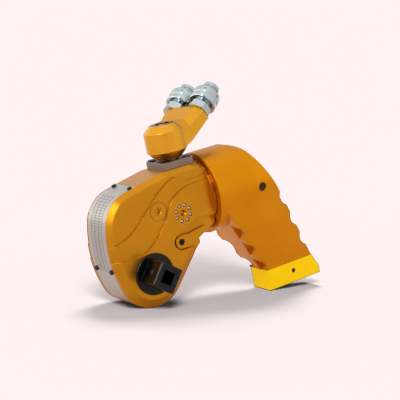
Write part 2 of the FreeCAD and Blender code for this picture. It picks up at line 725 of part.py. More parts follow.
# Piston, rod and the closed end of the cylinder
pistonRest = "chamber_start + 32"
piston = turned("piston_body", [("6.05", "0"), ("bore_r - 0.1", "0"), ("bore_r - 0.1", "5"), ("bore_r - 2", "5"),
                                ("bore_r - 2", "9"), ("bore_r - 0.1", "9"), ("bore_r - 0.1", "14"), ("6.05", "14")],
                f"{pistonRest}; 0; axis_z", armward)
node(piston, "piston")
node(tube("piston_seal_body", "bore_r - 1.95", "bore_r - 0.05", "5.1", "8.9",
          f"{pistonRest}; 0; axis_z", armward), "piston_seal")
rodBar = turned("rod_bar", [("0", "rod_start"), ("rod_r", "rod_start"), ("rod_r", f"{pistonRest}"), ("6", f"{pistonRest}"),
                            ("6", f"{pistonRest} + 14"), ("0", f"{pistonRest} + 14")],
                "0; 0; axis_z", armward)
eye = newBody("rod_eye")
eyeShape = sketchOn(eye, "eye_shape")
outline(eyeShape, [("pin_x", "axis_z - 9"), ("rod_start - 4.5", "axis_z - 9"),
                   ("rod_start - 0.2", "axis_z - 5.8"), ("rod_start + 2", "axis_z - 5.8"),
                   ("rod_start + 2", "axis_z + 5.8"), ("rod_start - 0.2", "axis_z + 5.8"),
                   ("rod_start - 4.5", "axis_z + 9"), ("pin_x", "axis_z + 9"), ("pin_x - 9", "axis_z")],
        {7: ("9", 1), 8: ("9", 1)})
pad(eye, eyeShape, "2 * (plate_in - 0.5)", both=True)
place(eye)
slotHalf = "(rod_pin_r + 0.3)"
eyeSlot = newBody("eye_slot")
eyeSlotShape = sketchOn(eyeSlot, "eye_slot_shape")
outline(eyeSlotShape, [(f"pin_x + {slotHalf}", "axis_z - 1.6"), (f"pin_x + {slotHalf}", "axis_z + 0.3"),
                       ("pin_x", f"axis_z + 0.3 + {slotHalf}"), (f"pin_x - {slotHalf}", "axis_z + 0.3"),
                       (f"pin_x - {slotHalf}", "axis_z - 1.6"), ("pin_x", f"axis_z - 1.6 - {slotHalf}")],
        {1: (slotHalf, 1), 2: (slotHalf, 1), 4: (slotHalf, 1), 5: (slotHalf, 1)})
pad(eyeSlot, eyeSlotShape, "40", both=True)
place(eyeSlot)
node(cut("piston_rod_cut", joined("rod_solid", [rodBar, eye]), [eyeSlot]), "piston_rod")
gland = turned("gland_body", [("0", "neck_end - 13"), ("bore_r - 0.1", "neck_end - 13"),
                              ("bore_r - 0.1", "neck_end - 9"), ("bore_r - 2", "neck_end - 9"),
                              ("bore_r - 2", "neck_end - 6"), ("bore_r - 0.1", "neck_end - 6"),
                              ("bore_r - 0.1", "neck_end"), ("27", "neck_end"), ("27", "neck_end + 3.4"),
                              ("26", "neck_end + 4.4"), ("0", "neck_end + 4.4")],
               "0; 0; axis_z", armward)
glandHex = hexagon("gland_hex", "14", "8", "neck_end - 2; 0; axis_z", armward)
node(cut("gland_cut", gland, [glandHex]), "end_gland")
node(tube("gland_seal_body", "bore_r - 1.95", "bore_r - 0.05", "neck_end - 8.9", "neck_end - 6.1",
          "0; 0; axis_z", armward), "gland_seal")

# Swivel plate and post
plateTools = [rod("plate_bore", "post_r + 0.1", "20", "post_x; 0; top_z - 5"),
              rod("plate_sink", "13.1", "5", "post_x; 0; top_z - 1")]
screwSpots = []
for sx, sy in ((1, 1), (1, -1), (-1, 1), (-1, -1)):
    screwSpots.append(f"placement(vector(post_x + {sx} * 13; {sy} * 13; top_z + 3.6); rotationz(0))")
for i, spot in enumerate(screwSpots):
    plateTools.append(rod(f"plate_through_{i}", "2.2", "12", "0; 0; -8", before=spot))
    plateTools.append(rod(f"plate_counter_{i}", "4.7", "8", "0; 0; 0", before=spot))
plate = newBody("swivel_plate_body")
plateShape = sketchOn(plate, "plate_shape", "XY_Plane", "top_z")
side = "plate_side / 2"
corner = "2.5"
outline(plateShape, [(f"post_x - {side} + {corner}", f"0 - {side}"), (f"post_x + {side} - {corner}", f"0 - {side}"),
                     (f"post_x + {side}", f"{corner} - {side}"), (f"post_x + {side}", f"{side} - {corner}"),
                     (f"post_x + {side} - {corner}", side), (f"post_x - {side} + {corner}", side),
                     (f"post_x - {side}", f"{side} - {corner}"), (f"post_x - {side}", f"{corner} - {side}")],
        {1: (corner, 1), 3: (corner, 1), 5: (corner, 1), 7: (corner, 1)})
pad(plate, plateShape, "plate_top - top_z")
rimEdges = []
plateHigh = measure("plate_top")
for i, edge in enumerate(plate.Tip.Shape.Edges):
    if edge.BoundBox.ZMin > plateHigh - 0.01:
        rimEdges.append(f"Edge{i + 1}")
plateSolid = plate.Tip
plateChamfer = plate.newObject("PartDesign::Chamfer", "plate_chamfer")
plateChamfer.Base = (plateSolid, rimEdges)
plateChamfer.Size = 0.6
plate.Tip = plateChamfer
place(plate)
doc.recompute()
node(cut("swivel_plate_cut", plate, plateTools), "swivel_plate")
node(group("plate_screw_group", [capScrew(f"mount_screw_{i}", "4.5", "5.1", "2.05", "12", "4", "2.8", spot)
                                 for i, spot in enumerate(screwSpots)]), "plate_screws")
node(turned("post_body", [("0", "top_z - 12.5"), ("post_r", "top_z - 12.5"), ("post_r", "top_z + 0.05"),
                          ("13", "top_z + 0.05"), ("13", "top_z + 3.9"), ("post_r", "top_z + 3.9"),
                          ("post_r", "block_top - 7.2"), ("7", "block_top - 7.2"), ("7", "block_top - 1"),
                          ("0", "block_top - 1")], "post_x; 0; 0"), "swivel_post")

swivelFrame = "placement(vector(post_x; 0; 0); rotationz(yaw))"

# Swivel block: plan, side profile, underside cone and deep top chamfer
face = "43.8"
halfPost = "sqrt(block_r^2 - 36)"
flare = f"((26 - {halfPost}) / 37.8)"
ramp = "((131.9 + 17.2 * cos(rise) - block_top) / (43.8 - 17.2 * sin(rise) - 16))"
block = newBody("block_post")
blockPlan = sketchOn(block, "block_plan", "XY_Plane", "block_low")
outline(blockPlan, [("6", f"0 - {halfPost}"), ("16", f"0 - {halfPost} - 10 * {flare}"),
                    ("16", f"{halfPost} + 10 * {flare}"), ("6", halfPost), ("0 - block_r", "0")],
        {3: ("block_r", 1), 4: ("block_r", 1)})
pad(block, blockPlan, "block_top - block_low")
blockSolid = block.Tip
topEdges = []
for i, edge in enumerate(blockSolid.Shape.Edges):
    edgeBox = edge.BoundBox
    if edgeBox.ZMin > measure("block_top") - 0.01 and edgeBox.XMin < 15.9:
        topEdges.append(f"Edge{i + 1}")
blockChamfer = block.newObject("PartDesign::Chamfer", "block_chamfer")
blockChamfer.Base = (blockSolid, topEdges)
blockChamfer.Size = 7.0
block.Tip = blockChamfer
doc.recompute()
blockUnder = sketchOn(block, "block_under")
outline(blockUnder, [("2", "block_low"), ("2", "block_low - 20"), ("80", "block_low - 20"), ("80", "131.9"),
                     (face, "131.9"), ("15", "block_low + 4.1")])
pad(block, blockUnder, "90", both=True, kind="PartDesign::Pocket")
place(block, before=swivelFrame)

# Port end of the block: it rises to the inclined face that carries the couplers
ports = newBody("block_ports")
portSide = sketchOn(ports, "port_side")
outline(portSide, [("0", "block_low"), ("2", "block_low"), ("15", "block_low + 4.1"), (face, "131.9"),
                   (f"{face} - 17.2 * sin(rise)", "131.9 + 17.2 * cos(rise)"),
                   ("0", f"block_top - 16 * {ramp}")])
pad(ports, portSide, "60", both=True)
portPlan = sketchOn(ports, "port_plan", "XY_Plane", "block_top + 20")
outline(portPlan, [("-2", f"0 - {halfPost} + 8 * {flare}"), ("60", f"0 - {halfPost} - 54 * {flare}"),
                   ("60", f"{halfPost} + 54 * {flare}"), ("-2", f"{halfPost} - 8 * {flare}")])
outline(portPlan, [("-20", "-60"), ("90", "-60"), ("90", "60"), ("-20", "60")])
pad(ports, portPlan, "90", kind="PartDesign::Pocket")
place(ports, before=swivelFrame)
doc.recompute()
bevels = []
for side, name in ((1, "rear"), (-1, "front")):
    corner = (f"{swivelFrame} * placement(vector(16; {side} * ({halfPost} + 10 * {flare}); block_top); "
              f"rotationz({side} * atan({flare})) * rotationy(-1 * atan({ramp})) * rotationx({-45 * side}))")
    bevels.append(box(f"bevel_{name}", "90", "40", "30", "-40; -20; -4.95", before=corner))
portsCut = cut("ports_cut", ports, bevels)
underCone = turned("under_cone", [("0", "plate_top + 1.25"), ("13.6", "plate_top + 1.25"),
                                  ("block_r - 0.2", "block_low"), ("block_r - 0.2", "block_low + 8.5"),
                                  ("0", "block_low + 8.5")], before=swivelFrame)
portTools = []
couplerFrames = []
for side in ("-1", "1"):
    couplerFrames.append(f"{swivelFrame} * placement(vector({face} - 8.1 * sin(rise); {side} * port_v; "
                         f"131.9 + 8.1 * cos(rise)); rotationy(90 - rise))")
for i, frame in enumerate(couplerFrames):
    portTools.append(rod(f"port_{i}", "6.6", "14", "0; 0; -12", before=frame))
blockTools = portTools + [rod("block_bore", "post_r + run_fit", "60", "0; 0; 90", before=swivelFrame),
                          rod("cap_seat", "11.6", "20", "0; 0; block_top - 6.4", before=swivelFrame)]
node(cut("swivel_block_cut", joined("block_solid", [block, portsCut, underCone]), blockTools), "swivel_block")

cap = tube("cap_body", "7.05", "11.4", "block_top - 6.2", "block_top + 0.2", before=swivelFrame)
capTools = [box(f"cap_slot_{i}", "30", "3.4", "3", "-15; -1.7; block_top - 1.6",
                before=f"{swivelFrame} * placement(vector(0; 0; 0); rotationz({45 * i}))")
            for i in range(4)]
node(cut("post_cap_cut", cap, capTools), "post_cap")

# Quick couplers: threaded hexagon adapter, nose and sliding collar
for i, (frame, tag) in enumerate(zip(couplerFrames, ("near", "far"))):
    stub = rod(f"stub_{i}", "6.5", "11.2", "0; 0; -11", before=frame)
    nut = hexagon(f"nut_{i}", "22", "nut_high", "0; 0; 0.1", before=frame)
    crown = turned(f"crown_{i}", [("0", "0.1"), ("11.4", "0.1"), ("12.8", "1.2"), ("12.8", "nut_high - 1.4"),
                                  ("11.2", "nut_high + 0.1"), ("0", "nut_high + 0.1")], before=frame)
    nutRound = doc.addObject("Part::Common", f"nut_round_{i}")
    nutRound.Base = nut
    nutRound.Tool = crown
    throat = rod(f"throat_{i}", "9.2", "4", "0; 0; nut_high", before=frame)
    channel = rod(f"channel_{i}", "3", "40", "0; 0; -12", before=frame)
    node(cut(f"adapter_cut_{i}", joined(f"adapter_{i}", [stub, nutRound, throat]), [channel]),
         f"coupler_adapter_{tag}")
    upper = f"{frame} * placement(vector(0; 0; nut_high + 4.05); rotationz(0))"
    node(turned(f"nose_{i}", [("5.2", "0"), ("11.6", "0"), ("11.6", "4.75"), ("8.8", "5.95"), ("8.8", "19.35"),
                              ("7.9", "19.95"), ("7.9", "21.35"), ("8.8", "21.95"), ("8.8", "25.35"),
                              ("8.1", "26.05"), ("5.2", "26.05")], before=upper), f"coupler_body_{tag}")
    collarBlank = turned(f"collar_{i}", [("11.75", "-0.45"), ("13.6", "-0.45"), ("14.5", "0.55"), ("14.5", "4.35"),
                                         ("13.9", "4.95"), ("13.9", "6.55"), ("14.5", "7.15"), ("14.5", "13.35"),
                                         ("13.6", "14.95"), ("10.4", "18.15"), ("9.1", "18.15"),
                                         ("9.1", "9.45"), ("11.75", "8.55")], before=upper)
    dimples = [rod(f"dimple_{i}_{k}", "1.3", "4", "13.4; 0; 10.55", "rotationy(90)",
                   f"{upper} * placement(vector(0; 0; 0); rotationz({60 * k + 30}))")
               for k in range(6)]
    node(cut(f"collar_cut_{i}", collarBlank, dimples), f"coupler_collar_{tag}")
    node(turned(f"poppet_{i}", [("0", "0.95"), ("2.2", "0.95"), ("2.2", "19.95"), ("4.9", "22.15"),
                                ("4.9", "24.55"), ("3.6", "25.35"), ("0", "25.35")], before=upper),
         f"coupler_poppet_{tag}")

# Reaction arm: a sleeve that runs into a wedge, cut to its side outline, with finger bites in both lips
arm = newBody("reaction_arm_body")
wedge = sketchOn(arm, "arm_wedge", "YZ_Plane", "sleeve_x")
outline(wedge, [("lean_y", "lean_z"), ("0", "axis_z + sleeve_r"), ("0 - lean_y", "lean_z"),
                ("0 - foot_y", "bend_z"), ("0 - foot_y", "foot_top"), ("2.8 - foot_y", "foot_top"),
                ("2.8 - foot_y", "core_low"), ("foot_y - 2.8", "core_low"), ("foot_y - 2.8", "foot_top"),
                ("foot_y", "foot_top"), ("foot_y", "bend_z")],
        {0: ("sleeve_r", 1), 1: ("sleeve_r", 1)})
pad(arm, wedge, "160")
armSide = sketchOn(arm, "arm_side")
armPoints = [("sleeve_x - 6", "lean_z + 6"), ("sleeve_x", "51"), ("86", "44"), ("93", "33"), ("138.4", "foot_top"),
             ("142", "foot_top"), ("142", "core_low"), ("202.6", "core_low"), ("196", "foot_top"),
             ("199.2", "foot_top"), ("133.3", "89.7"), ("116", "axis_z + sleeve_r + 0.1"), ("116", "130"),
             ("sleeve_x - 6", "130")]
outline(armSide, armPoints, {10: ("19.3", 1)})
outline(armSide, [("sleeve_x - 20", "-90"), ("260", "-90"), ("260", "140"), ("sleeve_x - 20", "140")])
pad(arm, armSide, "120", both=True, kind="PartDesign::Pocket")
sleeve = sketchOn(arm, "arm_sleeve", "YZ_Plane", "sleeve_x")
circle(sleeve, "0", "axis_z", "sleeve_r")
pad(arm, sleeve, "24")

# Finger bites, cut square to the leaning faces to the depth of the lip
bites = sketchOn(arm, "arm_bites", "XZ_Plane")
bites.setExpression("AttachmentOffset", bound("placement(vector(0; lean_z; lean_y); rotationx(lean))"))
leftLine = [(107.5, 9.3), (121.7, -14.2), (135.9, -37.7)]
rightLine = [(161.3, 33.0), (174.7, 6.0), (188.0, -20.8)]
for spots, nx, nz in ((leftLine, -0.852, -0.523), (rightLine, 0.896, 0.443)):
    for x, z in spots:
        circle(bites, f"{x} + {nx} * (bite_r - bite_depth)",
               f"({z} + {nz} * (bite_r - bite_depth) - lean_z) / cos(lean)", "bite_r")
bite = pad(arm, bites, "lip", kind="PartDesign::Pocket")
mirror = arm.newObject("PartDesign::Mirrored", "arm_bites_rear")
mirror.Originals = [bite]
mirror.MirrorPlane = (planeOf(arm, "XZ_Plane"), [""])
arm.Tip = mirror
doc.recompute()
armBore = sketchOn(arm, "arm_bore", "YZ_Plane", "sleeve_x - 1")
circle(armBore, "0", "axis_z", "neck_r - spline_depth + 0.25")
pad(arm, armBore, "150", kind="PartDesign::Pocket", back=True)
armGroove = sketchOn(arm, "arm_groove", "YZ_Plane", "sleeve_x - 1")
wide = "((6.28318 * (neck_r - 1) / 36 - groove_w) / 2 + 0.25)"
low = "(neck_r - spline_depth - 1)"
high = "(neck_r + 0.3)"
corners = [(f"(0 - {wide} - 0.3)", low), (f"({wide} + 0.3)", low), (wide, high), (f"(0 - {wide})", high)]
outline(armGroove, [(f"{across} * cos(5) - {up} * sin(5)", f"axis_z + {across} * sin(5) + {up} * cos(5)")
                    for across, up in corners])
armCut = pad(arm, armGroove, "150", kind="PartDesign::Pocket", back=True)
armAxis = sketchOn(arm, "arm_axis", "XZ_Plane")
armAxis.addGeometry(Part.LineSegment(vec(0, 58, 0), vec(50, 58, 0)), True)
armAxis.addConstraint(Sketcher.Constraint("Horizontal", 0))
pin(armAxis, "DistanceY", 0, 1, "axis_z", "height")
doc.recompute()
armSpline = arm.newObject("PartDesign::PolarPattern", "arm_splines")
armSpline.Originals = [armCut]
armSpline.Axis = (armAxis, ["Axis0"])
armSpline.Angle = 360
armSpline.Occurrences = 36
arm.Tip = armSpline
place(arm, turn="rotationz(0)")
doc.recompute()
lockHole = rod("lock_hole", "4.6", "20", "135; 0 - sleeve_r - 2; 53.5", "rotationx(-90)")
node(cut("reaction_arm_cut", arm, [lockHole]), "reaction_arm")

# Boot over the foot of the arm
boot = newBody("foot_boot_body")
bootShape = sketchOn(boot, "boot_shape")
outline(bootShape, [("138.9", "foot_top - 0.3"), ("138.9", "foot_low"), ("206.6", "foot_low"), ("207", "-58.4"),
                    ("199.6", "foot_top - 0.3")])
pad(boot, bootShape, "2 * (foot_y + 0.9)", both=True)
bootEdges = []
for i, edge in enumerate(boot.Tip.Shape.Edges):
    bootEdges.append(f"Edge{i + 1}")
bootSolid = boot.Tip
bootRound = boot.newObject("PartDesign::Fillet", "boot_round")
bootRound.Base = (bootSolid, bootEdges)
bootRound.Radius = 0.8
boot.Tip = bootRound
doc.recompute()
bootWell = sketchOn(boot, "boot_well")
outline(bootWell, [("141.9", "foot_top + 2"), ("141.9", "core_low - 0.1"), ("202.8", "core_low - 0.1"),
                   ("195.4", "foot_top + 2")])
pad(boot, bootWell, "2 * (foot_y - 2.7)", both=True, kind="PartDesign::Pocket")
place(boot)
doc.recompute()
bootHole = rod("boot_hole", "2.6", "8.3", "172.9; -20; -53.2", "rotationx(-90)")
node(cut("foot_boot_cut", boot, [bootHole]), "foot_boot")
bootSpot = "placement(vector(172.9; 0 - foot_y + 2.7; -53.2); rotationx(90))"
node(capScrew("boot_screw_cut", "2.5", "2.4", "1.5", "0.01", "1.9", "1.2", bootSpot), "boot_screw")
lockSpot = "placement(vector(135; -38.4; 53.5); rotationx(90))"
node(capScrew("lock_screw_cut", "4.5", "1.4", "4.4", "4", "3.6", "1.2", lockSpot), "arm_lock_screw")

doc.recompute()
bad = []
for item in doc.Objects:
    if "Invalid" in item.State or "Error" in item.State:
        bad.append(item.Name)
for item in exported:
    if item.Shape.isNull() or not item.Shape.isValid():
        bad.append(item.Label)
if bad:
    raise RuntimeError("not built: " + ", ".join(bad))
for item in exported:
    item.Shape.exportStep(f"parts/{item.Label}.step")
print(len(exported), "parts written")
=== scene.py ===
import math
import bpy
import bmesh
from mathutils import Matrix, Vector


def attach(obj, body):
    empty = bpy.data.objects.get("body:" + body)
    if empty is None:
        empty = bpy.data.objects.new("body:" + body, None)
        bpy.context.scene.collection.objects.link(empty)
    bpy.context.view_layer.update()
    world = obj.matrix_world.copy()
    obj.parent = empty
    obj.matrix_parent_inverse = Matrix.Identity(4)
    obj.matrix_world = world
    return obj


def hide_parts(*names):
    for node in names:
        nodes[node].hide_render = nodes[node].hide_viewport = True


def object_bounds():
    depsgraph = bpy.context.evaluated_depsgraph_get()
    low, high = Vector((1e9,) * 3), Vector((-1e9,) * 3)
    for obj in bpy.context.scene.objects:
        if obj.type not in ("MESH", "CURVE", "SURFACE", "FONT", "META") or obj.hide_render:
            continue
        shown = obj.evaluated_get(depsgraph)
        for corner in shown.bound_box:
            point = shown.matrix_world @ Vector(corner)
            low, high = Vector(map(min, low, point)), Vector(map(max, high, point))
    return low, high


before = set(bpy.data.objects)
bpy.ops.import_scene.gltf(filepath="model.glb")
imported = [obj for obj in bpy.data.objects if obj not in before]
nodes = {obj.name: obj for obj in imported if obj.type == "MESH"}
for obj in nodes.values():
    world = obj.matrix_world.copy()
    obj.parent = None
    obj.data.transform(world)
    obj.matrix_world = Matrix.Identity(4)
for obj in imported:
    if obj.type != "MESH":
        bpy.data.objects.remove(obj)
restLow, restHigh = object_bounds()
print("frame loaded", len(nodes), "nodes")

# The tool's own axes start on the drive axis, in millimetres. It stands tilted, and set back by the shoulder
tilt = math.radians(12.33)
shoulder = 32.2


def heading(x, y, z):
    # A direction in the tool's own axes
    return Vector((x * math.cos(tilt) - z * math.sin(tilt), y,
                   x * math.sin(tilt) + z * math.cos(tilt))).normalized()


def spot(x, y, z):
    # A point in the tool's own axes
    return Vector(((x * math.cos(tilt) - z * math.sin(tilt)) / 1000, (y + shoulder) / 1000,
                   (x * math.sin(tilt) + z * math.cos(tilt)) / 1000))


def linear(red, green, blue):
    # A colour as a paint program gives it, in the units of a shader socket
    values = []
    for level in (red, green, blue):
        level = level / 255
        values.append(level / 12.92 if level <= 0.04045 else ((level + 0.055) / 1.055) ** 2.4)
    return (*values, 1)


def startMaterial(name):
    material = bpy.data.materials.new(name)
    material.use_nodes = True
    tree = material.node_tree
    tree.nodes.clear()
    output = tree.nodes.new("ShaderNodeOutputMaterial")
    shader = tree.nodes.new("ShaderNodeBsdfPrincipled")
    tree.links.new(shader.outputs["BSDF"], output.inputs["Surface"])
    return material, shader


def add(tree, kind, **values):
    # A new node, with each value set on the input or the property of that name
    node = tree.nodes.new(kind)
    for key, value in values.items():
        if key in node.inputs:
            node.inputs[key].default_value = value
        else:
            setattr(node, key, value)
    return node


def arithmetic(tree, kind, first, second):
    # A Math node on two numbers or sockets
    node = tree.nodes.new("ShaderNodeMath")
    node.operation = kind
    for i, value in enumerate((first, second)):
        if isinstance(value, (int, float)):
            node.inputs[i].default_value = value
        else:
            tree.links.new(value, node.inputs[i])
    return node.outputs[0]


grainSettings = {"slow": 22, "fine": 2600, "from": 0.3, "to": 0.7, "depth": 0.0002}


def metal(name, settings):
    # Metal or lacquer with fine grain, slow tone changes and softened edges
    material, shader = startMaterial(name)
    tree = material.node_tree
    shader.inputs["Metallic"].default_value = settings["metallic"]
    shader.inputs["IOR"].default_value = settings.get("ior", 1.5)
    place = tree.nodes.new("ShaderNodeTexCoord")
    mapping = tree.nodes.new("ShaderNodeMapping")
    mapping.inputs["Rotation"].default_value = (0, tilt, 0)
    tree.links.new(place.outputs["Object"], mapping.inputs["Vector"])
    slow = add(tree, "ShaderNodeTexNoise", Scale=grainSettings["slow"], Detail=3.0, Roughness=0.5)
    fine = add(tree, "ShaderNodeTexNoise", Scale=grainSettings["fine"], Detail=2.0, Roughness=0.6)
    tree.links.new(mapping.outputs["Vector"], slow.inputs["Vector"])
    tree.links.new(mapping.outputs["Vector"], fine.inputs["Vector"])
    ramp = add(tree, "ShaderNodeValToRGB")
    ramp.color_ramp.elements[0].position = grainSettings["from"]
    ramp.color_ramp.elements[0].color = linear(*settings["dark"])
    ramp.color_ramp.elements[1].position = grainSettings["to"]
    ramp.color_ramp.elements[1].color = linear(*settings["light"])
    tree.links.new(slow.outputs["Fac"], ramp.inputs["Fac"])
    tree.links.new(ramp.outputs["Color"], shader.inputs["Base Color"])
    spread = add(tree, "ShaderNodeMapRange")
    spread.inputs["To Min"].default_value, spread.inputs["To Max"].default_value = settings["rough"]
    tree.links.new(fine.outputs["Fac"], spread.inputs["Value"])
    tree.links.new(spread.outputs["Result"], shader.inputs["Roughness"])
    bevel = add(tree, "ShaderNodeBevel", samples=4, Radius=settings.get("edge", 0.0004))
    bump = add(tree, "ShaderNodeBump", Strength=settings.get("bump", 0.06), Distance=grainSettings["depth"])
    tree.links.new(bevel.outputs["Normal"], bump.inputs["Normal"])
    tree.links.new(fine.outputs["Fac"], bump.inputs["Height"])
    tree.links.new(bump.outputs["Normal"], shader.inputs["Normal"])
    return material


# Anodised gold of the head, the arm and the swivel, each with its own tone
goldSettings = {"metallic": 0.9, "dark": (186, 125, 18), "light": (198, 135, 24), "rough": (0.24, 0.32),
                "edge": 0.0007, "bump": 0.05}
armSettings = {"metallic": 0.94, "dark": (206, 131, 6), "light": (214, 139, 10), "rough": (0.28, 0.36),
               "edge": 0.001, "bump": 0.06}
blockSettings = {"metallic": 0.9, "dark": (212, 150, 34), "light": (220, 158, 42), "rough": (0.22, 0.28),
                 "edge": 0.0007, "bump": 0.05}
bootSettings = {"metallic": 0.0, "dark": (246, 205, 0), "light": (250, 210, 0), "rough": (0.55, 0.65),
                "edge": 0.0005, "bump": 0.04, "ior": 1.2}
blackSettings = {"metallic": 0.0, "dark": (2, 2, 2), "light": (6, 5, 5), "rough": (0.2, 0.3),
                 "edge": 0.0007, "bump": 0.1, "ior": 1.35}
steelSettings = {"metallic": 1.0, "dark": (118, 102, 92), "light": (142, 126, 114), "rough": (0.12, 0.2),
                 "edge": 0.0004, "bump": 0.12}
zincSettings = {"metallic": 1.0, "dark": (168, 180, 184), "light": (188, 200, 204), "rough": (0.07, 0.12),
                "edge": 0.0002, "bump": 0.0}
bronzeSettings = {"metallic": 1.0, "dark": (150, 112, 60), "light": (166, 126, 70), "rough": (0.3, 0.4)}
sealSettings = {"metallic": 0.0, "dark": (20, 20, 20), "light": (28, 28, 28), "rough": (0.5, 0.6)}
springSettings = {"metallic": 1.0, "dark": (110, 110, 114), "light": (130, 130, 134), "rough": (0.25, 0.35)}
# Dark brown painted shade: a colour that stands for the shade in the wells round the ring pins, in the gap
# round the side plug and in the holes of the boot screw and the arm lock screw
paintedShadeSettings = {"metallic": 0.0, "dark": (58, 24, 6), "light": (74, 30, 8), "rough": (0.5, 0.6)}
brightSettings = {"metallic": 1.0, "dark": (206, 200, 196), "light": (222, 216, 210), "rough": (0.12, 0.2)}

gold = metal("goldHead", goldSettings)
armGold = metal("goldArm", armSettings)
blockGold = metal("goldBlock", blockSettings)
yellow = metal("yellowBoot", bootSettings)
black = metal("blackOxide", blackSettings)
steel = metal("groundSteel", steelSettings)
zinc = metal("zincPlate", zincSettings)
bronze = metal("bronze", bronzeSettings)
seal = metal("nitrile", sealSettings)
wire = metal("springWire", springSettings)
paintedShade = metal("paintedShadeBrown", paintedShadeSettings)
bright = metal("brightPin", brightSettings)

# Nameplate: brushed plate with a plain ruled grid. Rows and columns are counted per metre
plateSettings = {"metallic": 0.9, "dark": (172, 169, 164), "light": (184, 181, 176), "rough": (0.26, 0.34),
                 "edge": 0.0002, "bump": 0.08}
gridSettings = {"columns": 128, "rows": 380, "shift": 0.0039, "halfWidth": 0.0122, "low": 0.002, "high": 0.078,
                "line": 0.11, "soft": 0.3, "colour": (96, 97, 98), "strength": 0.75}
plate = metal("ruledPlate", plateSettings)
plateTree = plate.node_tree
plateColour = plateTree.nodes["Principled BSDF"].inputs["Base Color"]
rule = add(plateTree, "ShaderNodeTexBrick", offset=0.0, squash=1.0)
rule.inputs["Scale"].default_value = 1.0
rule.inputs["Mortar Size"].default_value = gridSettings["line"]
rule.inputs["Mortar Smooth"].default_value = gridSettings["soft"]
rule.inputs["Brick Width"].default_value = 1.0
rule.inputs["Row Height"].default_value = 1.0
place = plateTree.nodes.new("ShaderNodeTexCoord")
split = plateTree.nodes.new("ShaderNodeSeparateXYZ")
plateTree.links.new(place.outputs["Object"], split.inputs["Vector"])
middle = shoulder / 1000
offCentre = arithmetic(plateTree, "SUBTRACT", split.outputs["Y"], middle)
across = arithmetic(plateTree, "MULTIPLY", arithmetic(
    plateTree, "SUBTRACT", split.outputs["Y"], middle + gridSettings["shift"]), gridSettings["columns"])
up = arithmetic(plateTree, "MULTIPLY", split.outputs["Z"], gridSettings["rows"])
join = plateTree.nodes.new("ShaderNodeCombineXYZ")
plateTree.links.new(across, join.inputs["X"])
plateTree.links.new(up, join.inputs["Y"])
plateTree.links.new(join.outputs["Vector"], rule.inputs["Vector"])
insideWidth = arithmetic(plateTree, "LESS_THAN", arithmetic(plateTree, "ABSOLUTE", offCentre, 0),
                         gridSettings["halfWidth"])
insideLow = arithmetic(plateTree, "GREATER_THAN", split.outputs["Z"], gridSettings["low"])
insideHigh = arithmetic(plateTree, "LESS_THAN", split.outputs["Z"], gridSettings["high"])
insideHeight = arithmetic(plateTree, "MULTIPLY", insideLow, insideHigh)
inside = arithmetic(plateTree, "MULTIPLY", insideWidth, insideHeight)
lines = arithmetic(plateTree, "MULTIPLY", rule.outputs["Fac"], inside)
dim = plateTree.nodes.new("ShaderNodeMix")
dim.data_type = "RGBA"
dim.inputs["B"].default_value = linear(*gridSettings["colour"])
plateTree.links.new(arithmetic(plateTree, "MULTIPLY", lines, gridSettings["strength"]), dim.inputs["Factor"])
plateTree.links.new(plateColour.links[0].from_socket, dim.inputs["A"])
plateTree.links.new(dim.outputs["Result"], plateColour)

# Nodes not named here are steel, and all else of the couplers is zinc plated
looks = {
    "housing": gold, "side_plug": gold, "release_lever": gold, "reaction_arm": armGold,
    "swivel_block": blockGold, "foot_boot": yellow, "nameplate": plate,
    "front_bushing": bronze, "rear_bushing": bronze, "piston_seal": seal, "gland_seal": seal,
    "detent_spring": wire, "pawl_springs": wire, "reaction_pawl_spring": wire,
    "nameplate_screws": black, "square_drive": black, "detent_pin": black, "drive_retainer": black,
    # The boot screw and the arm lock screw take the painted shade colour: painted shade of the holes they sit
    # in
    "lever_screw": black, "plate_screws": black, "end_gland": black, "boot_screw": paintedShade,
    "arm_lock_screw": paintedShade,
}
for name, item in nodes.items():
    item.data.materials.clear()
    item.data.materials.append(looks.get(name, zinc if name.startswith("coupler") else steel))
print("materials set")


def makePiece(name, shape, body, replaced, materials):
    mesh = bpy.data.meshes.new(name)
    shape.normal_update()
    shape.to_mesh(mesh)
    shape.free()
    piece = bpy.data.objects.new(name, mesh)
    bpy.context.scene.collection.objects.link(piece)
    for material in materials:
        mesh.materials.append(material)
    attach(piece, body)
    if replaced:
        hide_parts(*replaced)


def frameOf(centre, axis):
    # The matrix that takes Z to axis, with its origin at centre
    turn = axis.to_track_quat("Z", "Y").to_matrix().to_4x4()
    return Matrix.Translation(centre) @ turn


def addSpun(shape, profile, matrix, steps, materialIndex=0):
    # Turns a profile of (radius, height) in millimetres about Z
    made = []
    for radius, height in profile:
        made.append(shape.verts.new(Vector((radius / 1000, 0, height / 1000))))
    edges = [shape.edges.new((made[i], made[i + 1])) for i in range(len(made) - 1)]
    before = set(shape.faces)
    bmesh.ops.spin(shape, geom=made + edges, cent=(0, 0, 0), axis=(0, 0, 1), angle=math.tau,
                   steps=steps, use_merge=True)
    faces = [face for face in shape.faces if face not in before]
    verts = list({vert for face in faces for vert in face.verts})
    bmesh.ops.remove_doubles(shape, verts=verts, dist=1e-6)
    faces = [face for face in shape.faces if face not in before and face.is_valid]
    verts = list({vert for face in faces for vert in face.verts})
    bmesh.ops.recalc_face_normals(shape, faces=faces)
    bmesh.ops.transform(shape, matrix=matrix, verts=verts)
    for face in faces:
        face.smooth = True
        face.material_index = materialIndex
